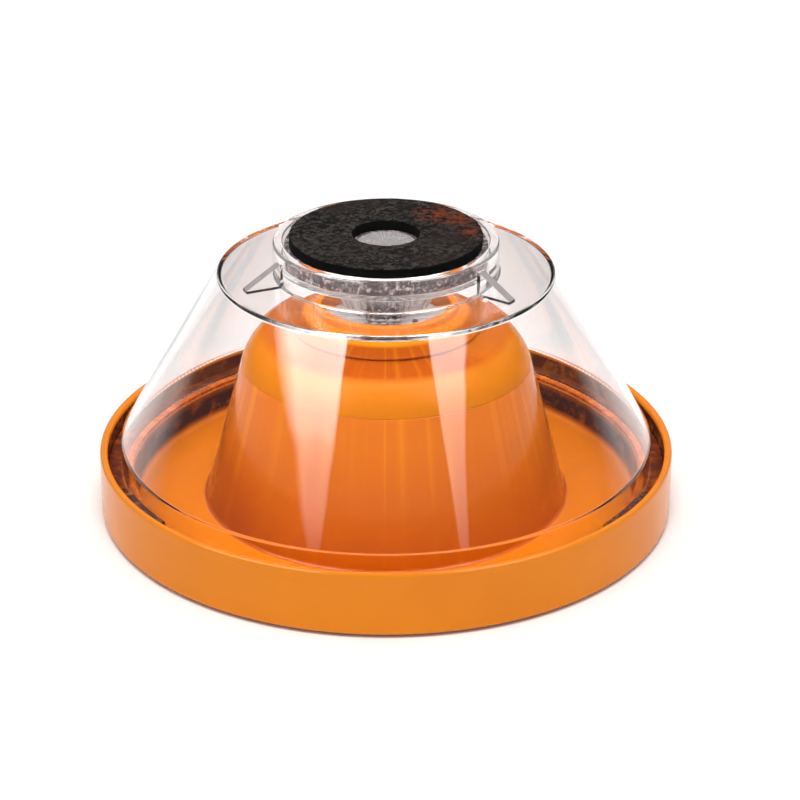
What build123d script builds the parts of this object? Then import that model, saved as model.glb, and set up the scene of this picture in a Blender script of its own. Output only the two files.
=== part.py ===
from build123d import *
import math
import os

# LED safety flare: an orange tray with a conical turret in its middle, under a clear twist-off lens.
# A fluted reflector hangs over the LED, and a ring magnet under a rubber pad crowns the lens.
# Millimetres. The origin is the centre of the face it stands on, and +Z points up to the magnet.

# Tray
tray_radius = 60.0
lip_top = 14.0
lip_inner_radius = 58.4
skirt_bottom = 0.6
ledge_top = 9.0
ledge_inner_radius = 52.7
floor_top = 2.6
floor_bottom = 1.0
wall = 1.8
dish_radius = 52.1
rim_step_radius = 54.0
foot_outer_radius = 51.0
foot_inner_radius = 45.0

# Turret
turret_foot_radius = 37.9
seam_radius = 30.0
seam_height = 32.5
spigot_depth = 2.0
spigot_radius = 28.95
shoulder_radius = 23.5
shoulder_height = 40.0
neck_radius = 15.0
neck_bore_radius = 13.4
neck_top = 45.0
neck_foot = 43.3
shelf_top = 39.6
shelf_bottom = 38.0
shelf_bore_radius = 10.5

# Screws that clamp the cap, the holder and the driver board to the turret's lugs
screw_circle_radius = 23.5
screw_angles = (60, 120, 240, 300)
lug_bottom = 22.2
lug_top = 24.2
lug_width = 8.0
lug_centre_radius = 26.0
lug_reach = 11.0
boss_radius = 3.6
boss_nose_radius = 2.9
boss_top = 37.0
screw_pilot_depth = 9.0
screw_length = 12.0
screw_clearance_radius = 1.45
screw_shank_radius = 1.25
screw_pilot_radius = 1.3
screw_head_radius = 2.4
screw_head_height = 1.6

# Bayonet between lens and tray
bayonet_angles = (90, 210, 330)
lens_lug_bottom = 9.9
lens_lug_top = 10.9
lens_lug_radius = 57.6
lens_lug_span = 14.0
tray_tab_bottom = 11.2
tray_tab_top = 12.2
tray_tab_radius = 56.0
tray_tab_span = 16.0
stop_bottom = 9.9
stop_span = 2.0
stop_gap = 0.5

# Seal: a flat ring over the whole ledge
seal_top = 9.7
seal_inner_radius = 52.9
seal_outer_radius = 58.3

# Lens
lens_radius = 55.5
lens_bottom = 9.8
lens_bend_height = 15.8
lens_wall = 1.3
lens_shoulder_radius = 34.5
lens_top = 52.5
shoulder_rounding = 0.5
collar_radius = 23.2
collar_inner_radius = 21.1
collar_top = 59.2
platform_top = 55.4
platform_thickness = 1.8
grip_rib_angles = (-36, -156, 84)
grip_rib_reach = 31.0
grip_rib_width = 2.0
grip_rib_top = 57.6
grip_rib_tip = 53.1

# Reflector, magnet and pad
reflector_bottom = 43.4
reflector_bottom_radius = 8.0
reflector_top_radius = 13.2
reflector_hollow_radius = 5.8
reflector_hollow_top = 48.4
reflector_hollow_top_radius = 3.4
flute_count = 24
flute_depth = 0.1
stem_radius = 6.2
stem_top = 58.3
magnet_radius = 20.85
magnet_bore_radius = 6.6
magnet_top = 58.2
pad_radius = 19.9
pad_top = 60.5
pad_bore_radius = 6.8

# Hatch and button
hatch_radius = 33.9
hatch_recess_radius = 34.2
hatch_recess_top = 2.3
hatch_opening_radius = 31.6
hatch_plug_radius = 31.3
hatch_flange_top = 2.2
hatch_top = 5.2
hatch_plate_top = 2.9
flange_top = 3.8
hatch_lug_radius = 33.5
hatch_lug_bottom = 4.0
hatch_lug_span = 18.0
hatch_notch_span = 22.0
hatch_lug_angles = (30, 150, 270)
hatch_release_turn = 60.0
hatch_groove_outer_radius = 33.2
hatch_groove_inner_radius = 32.2
hatch_groove_bottom = 1.4
hatch_seal_height = 1.83
hatch_seal_section_radius = 0.42
coin_slot_offset = 17.5
coin_slot_length = 15.0
coin_slot_width = 3.0
coin_slot_depth = 1.2
button_face_radius = 4.4
button_flange_radius = 5.6
button_bore_radius = 5.8
button_face_bottom = 1.2
button_flange_bottom = 1.9
button_top = 2.7
bezel_radius = 7.0
bezel_bore_radius = 4.6
bezel_top = 1.7
button_rod_radius = 2.0
button_rod_bore_radius = 2.2
button_rod_top = 18.35
button_well_top = 4.3
button_boss_radius = 7.6

# Batteries: two standard AA cells
cell_radius = 7.25
cell_length = 50.5
cell_offset = 10.25
cell_height = 12.85
nub_radius = 2.7
nub_length = 1.2

# Battery holder: a round roof, two end walls, a middle rib and saddles over the cells
holder_roof_thickness = 1.7
holder_roof_bottom = lug_bottom - holder_roof_thickness
holder_radius = 30.4
holder_bottom = 8.0
holder_wall_inner = 26.35
holder_wall_thickness = 1.5
holder_wall_width = 28.0
holder_rib_centre = 14.0
holder_rib_length = 21.0
holder_rib_thickness = 1.4
plunger_opening = 9.0
lead_slot_x = -24.0
lead_slot_y = 4.25
saddle_height = 18.2
saddle_width = 12.4
saddle_depth = 5.0
saddle_thickness = 2.0
saddle_starts = (-14.0, 12.0)
contact_thickness = 0.4
contact_bump_radius = 2.4

# Circuit boards
board_bottom = lug_top
board_thickness = 1.6
board_top = board_bottom + board_thickness
board_radius = 26.0
switch_height = 3.5
led_board_radius = 13.1
led_board_top = shelf_top + board_thickness
emitter_height = 0.8
led_dome_radius = 2.2
led_screw_circle_radius = 11.9
led_screw_angles = (90, 270)
led_screw_shank_radius = 0.6
led_screw_head_radius = 1.15
led_screw_head_height = 0.9

# Internal leads, each a mirrored pair, and the holes they come through
lead_radius = 0.45
lead_hole_radius = 0.75
led_lead_x = 6.0
led_lead_y = 3.0
led_lead_start_x = 8.0
battery_lead_x = -22.5
battery_lead_y = 4.0
battery_lead_start = (-25.5, 4.5)

os.makedirs("parts", exist_ok=True)


def save(node, name):
    """Label a finished sub-part and write it as its own STEP file."""
    node.part.label = name
    export_step(node.part, f"parts/{name}.step")


def turret_radius_at(height):
    """Outside radius of the turret's conical wall at a height."""
    slope = (turret_foot_radius - seam_radius) / (seam_height - floor_top)
    return turret_foot_radius - slope * (height - floor_top)


def lens_radius_at(height, inset=0.0):
    """Radius of the lens cone at a height, measured to a surface set in by inset along its normal."""
    rise = lens_top - lens_bend_height
    run = lens_radius - lens_shoulder_radius
    slope = run / rise
    return lens_radius - slope * (height - lens_bend_height) - inset * math.hypot(rise, run) / rise


def ring_sector(inner_radius, outer_radius, centre_angle, span):
    """Sketch face of a ring sector, to be used inside a BuildSketch."""
    start = centre_angle - span / 2
    with BuildLine() as outline:
        inner = CenterArc((0, 0), inner_radius, start, span)
        outer = CenterArc((0, 0), outer_radius, start, span)
        Line(inner @ 0, outer @ 0)
        Line(inner @ 1, outer @ 1)
    return make_face(outline.edges())


def polar_points(radius, angles):
    """Points on a circle at the given angles."""
    return [(radius * math.cos(math.radians(a)), radius * math.sin(math.radians(a))) for a in angles]


# ---------------------------------------------------------------- base tray
with BuildPart() as base_tray:
    with BuildSketch(Plane.XZ):
        with BuildLine():
            Polyline(
                (hatch_recess_radius, floor_bottom),
                (rim_step_radius, floor_bottom),
                (rim_step_radius, ledge_top - wall),
                (lip_inner_radius, ledge_top - wall),
                (lip_inner_radius, skirt_bottom),
                (tray_radius - 0.9, skirt_bottom),
            )
            JernArc((tray_radius - 0.9, skirt_bottom), (1, 0), 0.9, 90)
            Line((tray_radius, skirt_bottom + 0.9), (tray_radius, lip_top - 0.8))
            ThreePointArc(
                (tray_radius, lip_top - 0.8),
                ((tray_radius + lip_inner_radius) / 2, lip_top),
                (lip_inner_radius, lip_top - 0.8),
            )
            Polyline(
                (lip_inner_radius, lip_top - 0.8),
                (lip_inner_radius, ledge_top),
                (ledge_inner_radius, ledge_top),
                (dish_radius, floor_top),
                (turret_foot_radius, floor_top),
                (seam_radius, seam_height),
                (spigot_radius + 0.05, seam_height),
                (spigot_radius + 0.05, seam_height - spigot_depth - 0.1),
                (turret_radius_at(seam_height - spigot_depth) - wall, seam_height - spigot_depth - 0.1),
                (turret_radius_at(flange_top) - wall, flange_top),
                (hatch_opening_radius, flange_top),
                (hatch_opening_radius, hatch_recess_top),
                (hatch_recess_radius, hatch_recess_top),
                (hatch_recess_radius, floor_bottom),
            )
        make_face()
    revolve(axis=Axis.Z)
    # Lugs inside the turret that take the clamping screws
    with BuildSketch(Plane.XY.offset(lug_bottom)):
        for angle in screw_angles:
            with Locations(Location((0, 0), angle)):
                with Locations((lug_centre_radius, 0)):
                    Rectangle(lug_reach, lug_width)
    extrude(amount=lug_top - lug_bottom)
    with Locations(*[(x, y, lug_top) for x, y in polar_points(screw_circle_radius, screw_angles)]):
        Hole(screw_clearance_radius, depth=lug_top - lug_bottom)
    # Bayonet tabs above the ledge, each with a stop hanging from one end
    with BuildSketch(Plane.XY.offset(tray_tab_bottom)):
        for angle in bayonet_angles:
            ring_sector(tray_tab_radius, lip_inner_radius + 0.5, angle, tray_tab_span)
    extrude(amount=tray_tab_top - tray_tab_bottom)
    with BuildSketch(Plane.XY.offset(stop_bottom)):
        for angle in bayonet_angles:
            stop_angle = angle - lens_lug_span / 2 - stop_gap - stop_span / 2
            ring_sector(tray_tab_radius, lip_inner_radius + 0.5, stop_angle, stop_span)
    extrude(amount=tray_tab_top - stop_bottom)
    # Notches that let the hatch's lugs through its seat
    with BuildSketch(Plane.XY.offset(hatch_recess_top - 0.5)):
        for angle in hatch_lug_angles:
            notch_angle = angle + hatch_release_turn
            ring_sector(hatch_opening_radius - 0.5, hatch_lug_radius + 0.4, notch_angle, hatch_notch_span)
    extrude(amount=flange_top - hatch_recess_top + 1.0, mode=Mode.SUBTRACT)
save(base_tray, "base_tray")

# ---------------------------------------------------------------- turret cap
with BuildPart() as turret_cap:
    with BuildSketch(Plane.XZ):
        with BuildLine():
            ThreePointArc((seam_radius, seam_height), (28.0, 36.4), (shoulder_radius, shoulder_height))
            Polyline(
                (shoulder_radius, shoulder_height),
                (neck_radius, neck_foot),
                (neck_radius, neck_top - 0.5),
                (neck_radius - 0.5, neck_top),
                (neck_bore_radius + 0.4, neck_top),
                (neck_bore_radius, neck_top - 0.4),
                (neck_bore_radius, shelf_top),
                (shelf_bore_radius, shelf_top),
                (shelf_bore_radius, shelf_bottom),
                (neck_radius, shelf_bottom),
                (neck_radius + 0.4, neck_foot - wall - 0.2),
                (shoulder_radius - 0.7, shoulder_height - wall),
            )
            ThreePointArc(
                (shoulder_radius - 0.7, shoulder_height - wall),
                (26.0, 35.6),
                (spigot_radius - wall, seam_height - 0.4),
            )
            Polyline(
                (spigot_radius - wall, seam_height - 0.4),
                (spigot_radius - wall, seam_height - spigot_depth),
                (spigot_radius, seam_height - spigot_depth),
                (spigot_radius, seam_height),
                (seam_radius, seam_height),
            )
        make_face()
    revolve(axis=Axis.Z)
    # Bosses: a wide shoulder that holds the driver board down, and a nose that reaches the lug
    with BuildSketch(Plane.XY.offset(board_top)):
        with Locations(*polar_points(screw_circle_radius, screw_angles)):
            Circle(boss_radius)
    extrude(amount=boss_top - board_top)
    with BuildSketch(Plane.XY.offset(board_bottom)):
        with Locations(*polar_points(screw_circle_radius, screw_angles)):
            Circle(boss_nose_radius)
    extrude(amount=board_thickness)
    with BuildSketch(Plane.XY.offset(board_bottom)):
        with Locations(*polar_points(screw_circle_radius, screw_angles)):
            Circle(screw_pilot_radius)
    extrude(amount=screw_pilot_depth, mode=Mode.SUBTRACT)
    # Pilot holes for the LED board's screws
    with BuildSketch(Plane.XY.offset(shelf_bottom)):
        with Locations(*polar_points(led_screw_circle_radius, led_screw_angles)):
            Circle(led_screw_shank_radius + 0.05)
    extrude(amount=shelf_top - shelf_bottom, mode=Mode.SUBTRACT)
save(turret_cap, "turret_cap")

# ---------------------------------------------------------------- clamping screws
with BuildPart() as cap_screws:
    for x, y in polar_points(screw_circle_radius, screw_angles):
        with BuildSketch(Plane((x, y, holder_roof_bottom - screw_head_height))):
            Circle(screw_head_radius)
        extrude(amount=screw_head_height)
        with BuildSketch(Plane((x, y, holder_roof_bottom))):
            Circle(screw_shank_radius)
        extrude(amount=screw_length)
        with BuildSketch(Plane((x, y, holder_roof_bottom - screw_head_height))):
            Rectangle(2.8, 0.6)
            Rectangle(0.6, 2.8)
        extrude(amount=0.9, mode=Mode.SUBTRACT)
save(cap_screws, "cap_screws")

# ---------------------------------------------------------------- seal under the lens skirt
with BuildPart() as lens_seal:
    with BuildSketch(Plane.XY.offset(ledge_top)):
        Circle(seal_outer_radius)
        Circle(seal_inner_radius, mode=Mode.SUBTRACT)
    extrude(amount=seal_top - ledge_top)
save(lens_seal, "lens_seal")

# ---------------------------------------------------------------- rubber foot ring
with BuildPart() as foot_ring:
    with BuildSketch():
        Circle(foot_outer_radius)
        Circle(foot_inner_radius, mode=Mode.SUBTRACT)
    extrude(amount=floor_bottom)
    fillet(foot_ring.faces().sort_by(Axis.Z)[0].edges(), 0.3)
save(foot_ring, "foot_ring")

# ---------------------------------------------------------------- LED board, screws, emitter and dome
with BuildPart() as led_board:
    with BuildSketch(Plane.XY.offset(shelf_top)):
        Circle(led_board_radius)
        with Locations(*polar_points(led_screw_circle_radius, led_screw_angles)):
            Circle(led_screw_shank_radius + 0.2, mode=Mode.SUBTRACT)
        with Locations((led_lead_x, led_lead_y), (led_lead_x, -led_lead_y)):
            Circle(lead_hole_radius, mode=Mode.SUBTRACT)
    extrude(amount=board_thickness)
save(led_board, "led_board")

with BuildPart() as led_screws:
    for x, y in polar_points(led_screw_circle_radius, led_screw_angles):
        with BuildSketch(Plane((x, y, led_board_top))):
            Circle(led_screw_head_radius)
        extrude(amount=led_screw_head_height)
        with BuildSketch(Plane((x, y, shelf_bottom))):
            Circle(led_screw_shank_radius)
        extrude(amount=led_board_top - shelf_bottom)
        with BuildSketch(Plane((x, y, led_board_top + 0.4))):
            Rectangle(1.5, 0.35)
            Rectangle(0.35, 1.5)
        extrude(amount=0.6, mode=Mode.SUBTRACT)
save(led_screws, "led_screws")

with BuildPart() as led_emitter:
    with BuildSketch(Plane.XY.offset(led_board_top)):
        RectangleRounded(6.0, 6.0, 0.5)
    extrude(amount=emitter_height)
save(led_emitter, "led_emitter")

with BuildPart() as led_dome:
    with Locations((0, 0, led_board_top + emitter_height)):
        Sphere(led_dome_radius)
    split(bisect_by=Plane.XY.offset(led_board_top + emitter_height), keep=Keep.TOP)
save(led_dome, "led_dome")

# ---------------------------------------------------------------- driver board and its components
with BuildPart() as driver_board:
    with BuildSketch(Plane.XY.offset(board_bottom)):
        Circle(board_radius)
        with Locations(*polar_points(screw_circle_radius, screw_angles)):
            Circle(boss_nose_radius + 0.2, mode=Mode.SUBTRACT)
        for x, y in ((led_lead_start_x, led_lead_y), (battery_lead_x, battery_lead_y)):
            with Locations((x, y), (x, -y)):
                Circle(lead_hole_radius, mode=Mode.SUBTRACT)
    extrude(amount=board_thickness)
save(driver_board, "driver_board")

with BuildPart() as driver_chip:
    with BuildSketch(Plane.XY.offset(board_top)):
        with Locations((-4.0, 6.0)):
            Rectangle(5.0, 4.0)
    extrude(amount=1.6)
    chamfer(driver_chip.faces().sort_by(Axis.Z)[-1].edges(), 0.25)
save(driver_chip, "driver_chip")

with BuildPart() as driver_inductor:
    with BuildSketch(Plane.XY.offset(board_top)):
        with Locations((-5.0, -6.5)):
            RectangleRounded(7.0, 7.0, 1.6)
    extrude(amount=4.0)
    fillet(driver_inductor.faces().sort_by(Axis.Z)[-1].edges(), 0.5)
save(driver_inductor, "driver_inductor")

with BuildPart() as driver_capacitor:
    with BuildSketch(Plane.XY.offset(board_top)):
        with Locations((0.0, 14.5)):
            Circle(3.15)
    extrude(amount=7.0)
    fillet(driver_capacitor.faces().sort_by(Axis.Z)[-1].edges(), 0.5)
save(driver_capacitor, "driver_capacitor")

with BuildPart() as tact_switch:
    with BuildSketch(Plane.XY.offset(board_bottom - switch_height)):
        RectangleRounded(6.0, 6.0, 0.6)
    extrude(amount=switch_height)
    with BuildSketch(Plane.XY.offset(board_bottom - switch_height - 0.8)):
        Circle(1.7)
    extrude(amount=0.8)
save(tact_switch, "tact_switch")

# ---------------------------------------------------------------- battery holder
with BuildPart() as battery_holder:
    with BuildSketch(Plane.XY.offset(holder_roof_bottom)):
        Circle(holder_radius)
        Rectangle(plunger_opening, plunger_opening, mode=Mode.SUBTRACT)
        with Locations(*polar_points(screw_circle_radius, screw_angles)):
            Circle(screw_clearance_radius, mode=Mode.SUBTRACT)
        with Locations((lead_slot_x, lead_slot_y), (lead_slot_x, -lead_slot_y)):
            RectangleRounded(5.0, 2.4, 0.5, mode=Mode.SUBTRACT)
    extrude(amount=holder_roof_thickness)
    # End walls that carry the contacts, and a rib between the cells, open in the middle for the plunger
    with BuildSketch(Plane.XY.offset(holder_bottom)):
        wall_centre = holder_wall_inner + holder_wall_thickness / 2
        with Locations((wall_centre, 0), (-wall_centre, 0)):
            Rectangle(holder_wall_thickness, holder_wall_width)
        with Locations((holder_rib_centre, 0), (-holder_rib_centre, 0)):
            Rectangle(holder_rib_length, holder_rib_thickness)
    extrude(amount=holder_roof_bottom - holder_bottom + 0.2)
    # Cell saddles under the roof
    for saddle_start in saddle_starts:
        with BuildSketch(Plane.YZ.offset(saddle_start)):
            with Locations((cell_offset, saddle_height), (-cell_offset, saddle_height)):
                Rectangle(saddle_width, saddle_depth)
            with Locations((cell_offset, cell_height), (-cell_offset, cell_height)):
                Circle(cell_radius + 0.15, mode=Mode.SUBTRACT)
        extrude(amount=saddle_thickness)
save(battery_holder, "battery_holder")

# ---------------------------------------------------------------- battery cells
with BuildPart() as battery_cells:
    for side in (1, -1):
        start = -side * cell_length / 2
        axis_plane = Plane((start, side * cell_offset, cell_height), x_dir=(0, 1, 0), z_dir=(side, 0, 0))
        with BuildSketch(axis_plane):
            Circle(cell_radius)
        extrude(amount=cell_length - nub_length)
        with BuildSketch(axis_plane.offset(cell_length - nub_length)):
            Circle(nub_radius)
        extrude(amount=nub_length)
    fillet(battery_cells.edges().filter_by(GeomType.CIRCLE).filter_by(lambda e: e.radius > 7), 0.5)
save(battery_cells, "battery_cells")

# ---------------------------------------------------------------- contacts
contact_gap = holder_wall_inner - contact_thickness - cell_length / 2
with BuildPart() as bridge_contact:
    with BuildSketch(Plane.YZ.offset(holder_wall_inner - contact_thickness)):
        with Locations((0, cell_height)):
            Rectangle(27.0, 8.0)
    extrude(amount=contact_thickness)
    with BuildSketch(Plane.YZ.offset(holder_wall_inner - contact_thickness)):
        with Locations((cell_offset, cell_height), (-cell_offset, cell_height)):
            Circle(contact_bump_radius)
    extrude(amount=-(contact_gap - 0.05), taper=30)
save(bridge_contact, "bridge_contact")

with BuildPart() as terminal_contacts:
    with BuildSketch(Plane.YZ.offset(-holder_wall_inner)):
        with Locations((8.5, cell_height + 1.3), (-8.5, cell_height + 1.3)):
            Rectangle(10.0, 10.8)
    extrude(amount=contact_thickness)
    with BuildSketch(Plane.YZ.offset(-holder_wall_inner + contact_thickness)):
        with Locations((cell_offset, cell_height), (-cell_offset, cell_height)):
            Circle(contact_bump_radius)
    extrude(amount=contact_gap - 0.05, taper=30)
save(terminal_contacts, "terminal_contacts")

# ---------------------------------------------------------------- leads
with BuildPart() as battery_leads:
    for side in (1, -1):
        with BuildLine() as route:
            FilletPolyline(
                (battery_lead_start[0], side * battery_lead_start[1], cell_height + 4.8),
                (battery_lead_start[0], side * battery_lead_start[1], 19.6),
                (battery_lead_x, side * battery_lead_y, 21.4),
                (battery_lead_x, side * battery_lead_y, board_top + 0.6),
                radius=1.2,
            )
        with BuildSketch(Plane(route.wire() @ 0, z_dir=route.wire() % 0)):
            Circle(lead_radius)
        sweep(path=route.wire())
save(battery_leads, "battery_leads")

with BuildPart() as led_leads:
    for side in (1, -1):
        with BuildLine() as route:
            FilletPolyline(
                (led_lead_start_x, side * led_lead_y, board_bottom + 0.2),
                (led_lead_start_x, side * led_lead_y, 30.0),
                (led_lead_x, side * led_lead_y, 35.0),
                (led_lead_x, side * led_lead_y, led_board_top + 0.4),
                radius=4.0,
            )
        with BuildSketch(Plane(route.wire() @ 0, z_dir=route.wire() % 0)):
            Circle(lead_radius)
        sweep(path=route.wire())
save(led_leads, "led_leads")

# ---------------------------------------------------------------- clear lens
platform_bottom = platform_top - platform_thickness
plate_bottom = lens_top - lens_wall
skirt_inner_radius = lens_radius - lens_wall
lens_run = (lens_radius - lens_shoulder_radius) / (lens_top - lens_bend_height)
inner_bend_height = lens_bend_height - lens_wall * (math.hypot(1, lens_run) - 1) / lens_run
with BuildPart() as lens_shell:
    with BuildSketch(Plane.XZ):
        with BuildLine():
            Polyline(
                (lens_radius, lens_bottom),
                (lens_radius, lens_bend_height),
                (lens_shoulder_radius, lens_top),
                (collar_radius, lens_top),
                (collar_radius, collar_top),
                (collar_inner_radius, collar_top),
                (collar_inner_radius, platform_top),
                (stem_radius + 0.05, platform_top),
                (stem_radius + 0.05, platform_bottom),
                (collar_inner_radius, platform_bottom),
                (collar_inner_radius, plate_bottom),
                (lens_radius_at(plate_bottom, lens_wall), plate_bottom),
                (skirt_inner_radius, inner_bend_height),
                (skirt_inner_radius, lens_bottom),
                (lens_radius, lens_bottom),
            )
        make_face()
    revolve(axis=Axis.Z)
    fillet(lens_shell.edges().filter_by(GeomType.CIRCLE).filter_by(
        lambda e: abs(e.radius - lens_shoulder_radius) < 0.01), shoulder_rounding)
    fillet(lens_shell.edges().filter_by(GeomType.CIRCLE).filter_by(
        lambda e: abs(e.center().Z - collar_top) < 0.01), 0.4)
    # Finger ribs that stiffen the collar and turn the lens
    for angle in grip_rib_angles:
        with BuildSketch(Plane.XZ.rotated((0, 0, angle))):
            with BuildLine():
                Polyline(
                    (collar_radius - 0.8, lens_top - 0.5),
                    (collar_radius - 0.8, grip_rib_top),
                    (collar_radius + 0.4, grip_rib_top),
                    (grip_rib_reach, grip_rib_tip),
                    (grip_rib_reach, lens_top - 0.5),
                    (collar_radius - 0.8, lens_top - 0.5),
                )
            make_face()
        extrude(amount=grip_rib_width / 2, both=True)
    # Bayonet lugs round the skirt
    with BuildSketch(Plane.XY.offset(lens_lug_bottom)):
        for angle in bayonet_angles:
            ring_sector(lens_radius - 0.8, lens_lug_radius, angle, lens_lug_span)
    extrude(amount=lens_lug_top - lens_lug_bottom)
save(lens_shell, "lens_shell")

# ---------------------------------------------------------------- fluted reflector
flute_angle = 360 / flute_count
with BuildPart() as fluted_reflector:
    for height, radius in ((reflector_bottom, reflector_bottom_radius), (platform_bottom, reflector_top_radius)):
        with BuildSketch(Plane.XY.offset(height)):
            with BuildLine():
                crests = [(radius, i * flute_angle) for i in range(flute_count)]
                roots = [(radius * (1 - flute_depth), (i + 0.5) * flute_angle) for i in range(flute_count)]
                star = [point for pair in zip(crests, roots) for point in pair]
                Polyline(*[(r * math.cos(math.radians(a)), r * math.sin(math.radians(a))) for r, a in star],
                         close=True)
            make_face()
    loft(ruled=True)
    with BuildSketch(Plane.XY.offset(platform_bottom)):
        Circle(stem_radius)
    extrude(amount=stem_top - platform_bottom)
    fillet(fluted_reflector.faces().sort_by(Axis.Z)[-1].edges(), 0.6)
    # Hollow that the LED shines up into
    with BuildSketch(Plane.XY.offset(reflector_bottom)):
        Circle(reflector_hollow_radius)
    with BuildSketch(Plane.XY.offset(reflector_hollow_top)):
        Circle(reflector_hollow_top_radius)
    loft(mode=Mode.SUBTRACT)
save(fluted_reflector, "fluted_reflector")

# ---------------------------------------------------------------- magnet and pad
with BuildPart() as ring_magnet:
    with BuildSketch(Plane.XY.offset(platform_top)):
        Circle(magnet_radius)
        Circle(magnet_bore_radius, mode=Mode.SUBTRACT)
    extrude(amount=magnet_top - platform_top)
    chamfer(ring_magnet.edges().filter_by(GeomType.CIRCLE), 0.25)
save(ring_magnet, "ring_magnet")

with BuildPart() as magnet_pad:
    with BuildSketch(Plane.XY.offset(magnet_top)):
        Circle(pad_radius)
        Circle(pad_bore_radius, mode=Mode.SUBTRACT)
    extrude(amount=pad_top - magnet_top)
    fillet(magnet_pad.faces().sort_by(Axis.Z)[-1].edges(), 0.25)
save(magnet_pad, "magnet_pad")

# ---------------------------------------------------------------- battery hatch
with BuildPart() as battery_hatch:
    with BuildSketch(Plane.XZ):
        with BuildLine():
            Polyline(
                (bezel_radius + 0.05, floor_bottom),
                (hatch_radius, floor_bottom),
                (hatch_radius, hatch_flange_top),
                (hatch_groove_outer_radius, hatch_flange_top),
                (hatch_groove_outer_radius, hatch_groove_bottom),
                (hatch_groove_inner_radius, hatch_groove_bottom),
                (hatch_groove_inner_radius, hatch_flange_top),
                (hatch_plug_radius, hatch_flange_top),
                (hatch_plug_radius, hatch_top),
                (hatch_plug_radius - wall, hatch_top),
                (hatch_plug_radius - wall, hatch_plate_top),
                (button_boss_radius, hatch_plate_top),
                (button_boss_radius, hatch_top),
                (button_rod_bore_radius, hatch_top),
                (button_rod_bore_radius, button_well_top),
                (button_bore_radius, button_well_top),
                (button_bore_radius, bezel_top),
                (bezel_radius + 0.05, bezel_top),
                (bezel_radius + 0.05, floor_bottom),
            )
        make_face()
    revolve(axis=Axis.Z)
    # Bayonet lugs over the tray's seat
    with BuildSketch(Plane.XY.offset(hatch_lug_bottom)):
        for angle in hatch_lug_angles:
            ring_sector(hatch_plug_radius - 0.8, hatch_lug_radius, angle, hatch_lug_span)
    extrude(amount=hatch_top - hatch_lug_bottom)
    # Two coin slots, one each side of the button
    with BuildSketch(Plane.XY.offset(floor_bottom)):
        with PolarLocations(coin_slot_offset, 2):
            SlotOverall(coin_slot_length, coin_slot_width)
    extrude(amount=coin_slot_depth, mode=Mode.SUBTRACT)
save(battery_hatch, "battery_hatch")

with BuildPart() as hatch_seal:
    with BuildSketch(Plane.XZ):
        with Locations(((hatch_groove_outer_radius + hatch_groove_inner_radius) / 2, hatch_seal_height)):
            Circle(hatch_seal_section_radius)
    revolve(axis=Axis.Z)
save(hatch_seal, "hatch_seal")

with BuildPart() as button_bezel:
    with BuildSketch(Plane.XY.offset(floor_bottom)):
        Circle(bezel_radius)
        Circle(bezel_bore_radius, mode=Mode.SUBTRACT)
    extrude(amount=bezel_top - floor_bottom)
save(button_bezel, "button_bezel")

# ---------------------------------------------------------------- push button
with BuildPart() as button_cap:
    with BuildSketch(Plane.XY.offset(button_face_bottom)):
        Circle(button_face_radius)
    extrude(amount=button_top - button_face_bottom)
    with BuildSketch(Plane.XY.offset(button_flange_bottom)):
        Circle(button_flange_radius)
    extrude(amount=button_top - button_flange_bottom)
    fillet(button_cap.faces().sort_by(Axis.Z)[0].edges(), 0.3)
save(button_cap, "button_cap")

with BuildPart() as button_plunger:
    with BuildSketch(Plane.XY.offset(button_top)):
        Circle(button_rod_radius)
    extrude(amount=button_rod_top - button_top)
    chamfer(button_plunger.faces().sort_by(Axis.Z)[-1].edges(), 0.3)
save(button_plunger, "button_plunger")
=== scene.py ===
import math

import bmesh
import bpy
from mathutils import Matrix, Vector, noise


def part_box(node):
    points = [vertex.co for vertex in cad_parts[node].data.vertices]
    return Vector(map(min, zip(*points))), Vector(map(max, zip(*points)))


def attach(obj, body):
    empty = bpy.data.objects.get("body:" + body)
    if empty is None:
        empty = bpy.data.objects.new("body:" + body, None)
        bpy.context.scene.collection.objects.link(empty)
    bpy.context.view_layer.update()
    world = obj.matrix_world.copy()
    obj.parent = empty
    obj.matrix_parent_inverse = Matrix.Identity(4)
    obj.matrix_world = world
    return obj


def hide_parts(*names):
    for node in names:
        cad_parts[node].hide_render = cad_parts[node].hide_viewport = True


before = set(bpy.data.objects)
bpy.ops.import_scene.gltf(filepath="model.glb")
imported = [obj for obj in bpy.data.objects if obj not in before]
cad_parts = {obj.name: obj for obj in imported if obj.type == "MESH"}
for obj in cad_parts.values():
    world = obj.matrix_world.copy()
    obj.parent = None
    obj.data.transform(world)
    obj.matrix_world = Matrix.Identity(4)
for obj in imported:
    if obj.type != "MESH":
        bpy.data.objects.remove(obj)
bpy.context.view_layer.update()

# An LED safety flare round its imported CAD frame. Lengths are metres; MM turns millimetres into metres.
MM = 0.001
ROUND = 192          # segments round a turned piece
FINE_ROUND = 288     # segments round the lens, the flutes and the pad
SMALL_ROUND = 96     # segments round the button
SHARP_ANGLE = 35     # degrees between faces from which an edge stays sharp


# ---------------------------------------------------------------- sizes, read from the frame
def low(node, axis):
    """Lowest place of a CAD node along an axis."""
    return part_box(node)[0][axis]


def high(node, axis):
    """Highest place of a CAD node along an axis."""
    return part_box(node)[1][axis]


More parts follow.
